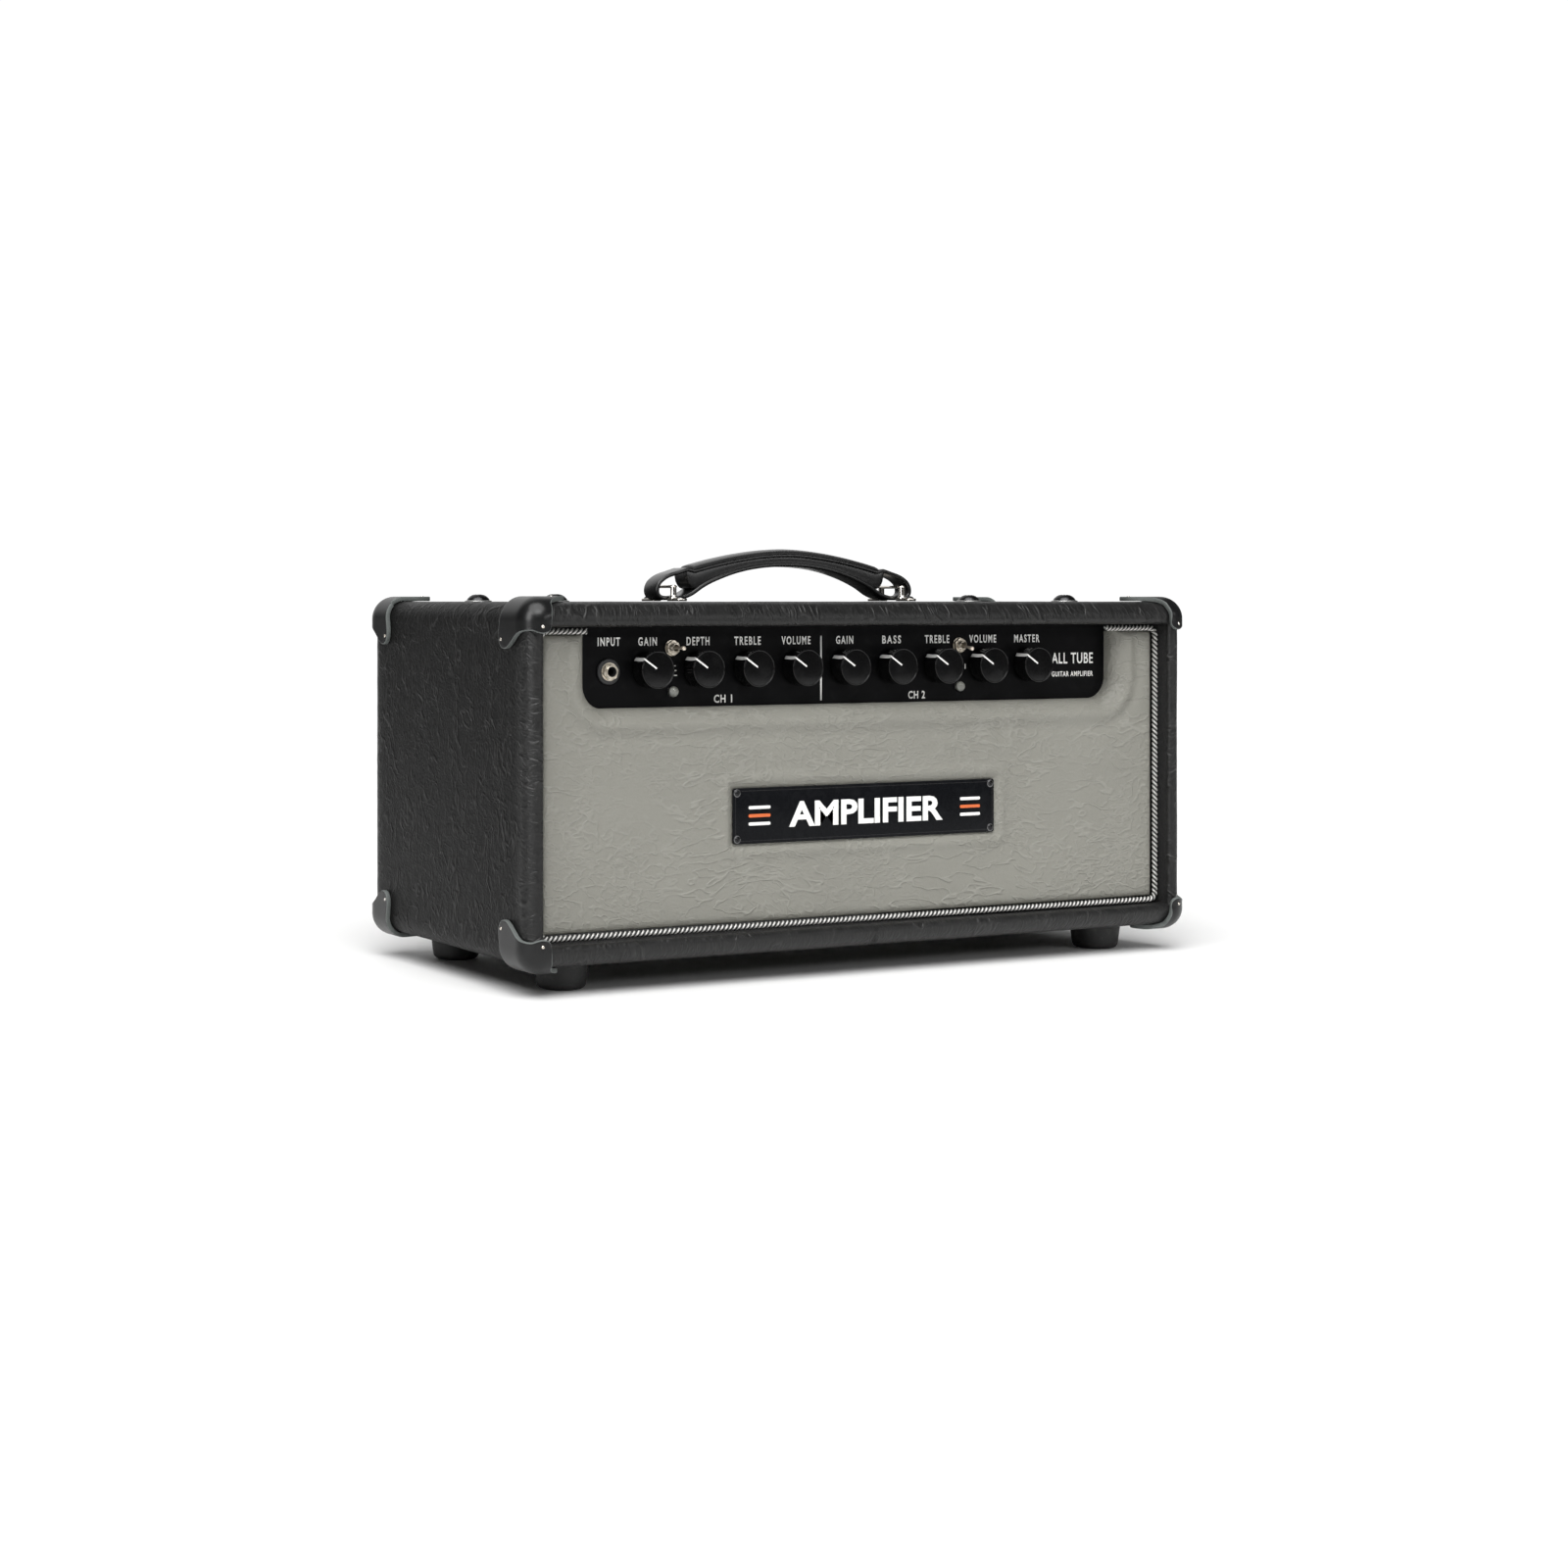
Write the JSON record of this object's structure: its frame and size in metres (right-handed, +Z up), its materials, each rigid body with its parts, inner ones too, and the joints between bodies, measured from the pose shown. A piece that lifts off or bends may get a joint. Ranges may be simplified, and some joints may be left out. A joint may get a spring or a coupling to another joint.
{
  "type": "guitar amplifier head",
  "caption": "Tube guitar amplifier head: vinyl covered cabinet with padded front, recessed control panel with turning knobs and toggles, strap handle, leather corners and rubber feet.",
  "frame": {"origin": "centre of the bounding box's underside, at the height of the feet's rest faces", "axes": "+X to the right of somebody facing the front, +Y towards the back, +Z up"},
  "size_m": [0.624, 0.275, 0.3304],
  "materials": {
    "black_vinyl": "black grained vinyl covering glued over plywood boards, soft satin sheen with long creases",
    "grey_vinyl": "warm grey padded vinyl with a fine creased leather grain",
    "braid": "silver and white twisted braid cord",
    "plate": "black printed plate, satin",
    "leather": "black polished leather with grey-green cut edges",
    "rubber": "black moulded rubber",
    "black_steel": "black finished steel, semi gloss",
    "nickel": "bright nickel plate",
    "steel": "zinc plated sheet steel",
    "panel_black": "satin black panel with off-white screened lettering",
    "gloss_black": "glossy black moulded plastic with a white pointer line",
    "board": "green circuit board",
    "clear_lens": "clear domed lens",
    "transformer": "black painted end bells on laminated iron",
    "tube_glass": "clear tube glass on a dark base",
    "black_plastic": "black moulded plastic"
  },
  "bodies": {
    "cabinet": {"cabinet_shell": "black_vinyl", "rear_panel": "black_vinyl", "front_baffle": "grey_vinyl", "baffle_piping": "braid", "nameplate": "plate", "corner_front_left_bottom": "leather", "corner_front_left_top": "leather", "corner_rear_left_bottom": "leather", "corner_rear_left_top": "leather", "corner_front_right_bottom": "leather", "corner_front_right_top": "leather", "corner_rear_right_bottom": "leather", "corner_rear_right_top": "leather", "foot_1": "rubber", "foot_2": "rubber", "foot_3": "rubber", "foot_4": "rubber", "chassis_bolt_1": "black_steel", "chassis_bolt_2": "black_steel", "chassis_bolt_3": "black_steel", "chassis_bolt_4": "black_steel", "rear_vent_grille": "black_steel", "handle_bracket_left": "nickel", "handle_bracket_right": "nickel", "toggle_body_1": "nickel", "toggle_body_2": "nickel", "input_jack": "nickel", "chassis_pan": "steel", "control_panel": "panel_black", "pot_board": "board", "main_board": "board", "led_1": "clear_lens", "led_2": "clear_lens", "power_transformer": "transformer", "output_transformer": "transformer", "power_tube_1": "tube_glass", "power_tube_2": "tube_glass", "power_tube_3": "tube_glass", "power_tube_4": "tube_glass", "preamp_tube_1": "tube_glass", "preamp_tube_2": "tube_glass", "preamp_tube_3": "tube_glass", "rear_switch_housing": "black_plastic", "mains_inlet": "black_plastic", "speaker_jack_block": "black_plastic"},
    "gain_1_knob": {"knob_gain_1": "gloss_black"},
    "depth_1_knob": {"knob_depth_1": "gloss_black"},
    "treble_1_knob": {"knob_treble_1": "gloss_black"},
    "volume_1_knob": {"knob_volume_1": "gloss_black"},
    "gain_2_knob": {"knob_gain_2": "gloss_black"},
    "bass_2_knob": {"knob_bass_2": "gloss_black"},
    "treble_2_knob": {"knob_treble_2": "gloss_black"},
    "volume_2_knob": {"knob_volume_2": "gloss_black"},
    "master_knob": {"knob_master": "gloss_black"},
    "bright_lever": {"toggle_lever_1": "nickel"},
    "tone_lever": {"toggle_lever_2": "nickel"},
    "power_switch": {"power_rocker": "black_plastic"},
    "standby_switch": {"standby_rocker": "black_plastic"},
    "impedance_knob": {"impedance_selector": "gloss_black"},
    "handle": {"handle_strap": "leather"}
  },
  "joints": [
    {"name": "gain_1_turn", "type": "hinge", "parent": "cabinet", "child": "gain_1_knob", "pos_m": [-0.19, -0.11, 0.237], "axis": [0, 1, 0], "range_deg": [-94, 206]},
    {"name": "depth_1_turn", "type": "hinge", "parent": "cabinet", "child": "depth_1_knob", "pos_m": [-0.145, -0.11, 0.237], "axis": [0, 1, 0], "range_deg": [-94, 206]},
    {"name": "treble_1_turn", "type": "hinge", "parent": "cabinet", "child": "treble_1_knob", "pos_m": [-0.1, -0.11, 0.237], "axis": [0, 1, 0], "range_deg": [-94, 206]},
    {"name": "volume_1_turn", "type": "hinge", "parent": "cabinet", "child": "volume_1_knob", "pos_m": [-0.055, -0.11, 0.237], "axis": [0, 1, 0], "range_deg": [-94, 206]},
    {"name": "gain_2_turn", "type": "hinge", "parent": "cabinet", "child": "gain_2_knob", "pos_m": [-0.01, -0.11, 0.237], "axis": [0, 1, 0], "range_deg": [-94, 206]},
    {"name": "bass_2_turn", "type": "hinge", "parent": "cabinet", "child": "bass_2_knob", "pos_m": [0.035, -0.11, 0.237], "axis": [0, 1, 0], "range_deg": [-94, 206]},
    {"name": "treble_2_turn", "type": "hinge", "parent": "cabinet", "child": "treble_2_knob", "pos_m": [0.08, -0.11, 0.237], "axis": [0, 1, 0], "range_deg": [-94, 206]},
    {"name": "volume_2_turn", "type": "hinge", "parent": "cabinet", "child": "volume_2_knob", "pos_m": [0.125, -0.11, 0.237], "axis": [0, 1, 0], "range_deg": [-94, 206]},
    {"name": "master_turn", "type": "hinge", "parent": "cabinet", "child": "master_knob", "pos_m": [0.17, -0.11, 0.237], "axis": [0, 1, 0], "range_deg": [-94, 206]},
    {"name": "bright_toggle", "type": "hinge", "parent": "cabinet", "child": "bright_lever", "pos_m": [-0.1685, -0.106, 0.253], "axis": [1, 0, 0], "range_deg": [-12, 12]},
    {"name": "tone_toggle", "type": "hinge", "parent": "cabinet", "child": "tone_lever", "pos_m": [0.1015, -0.106, 0.253], "axis": [1, 0, 0], "range_deg": [-22, 0]},
    {"name": "standby_rock", "type": "hinge", "parent": "cabinet", "child": "standby_switch", "pos_m": [0.139, 0.1064, 0.237], "axis": [1, 0, 0], "range_deg": [-20, 0]},
    {"name": "power_rock", "type": "hinge", "parent": "cabinet", "child": "power_switch", "pos_m": [0.161, 0.1064, 0.237], "axis": [1, 0, 0], "range_deg": [-20, 0]},
    {"name": "impedance_turn", "type": "hinge", "parent": "cabinet", "child": "impedance_knob", "pos_m": [-0.205, 0.11, 0.237], "axis": [0, -1, 0], "range_deg": [-30, 30]},
    {"name": "handle_lift", "type": "slide", "parent": "cabinet", "child": "handle", "axis": [0, 0, 1], "range_m": [0, 0.003]}
  ]
}
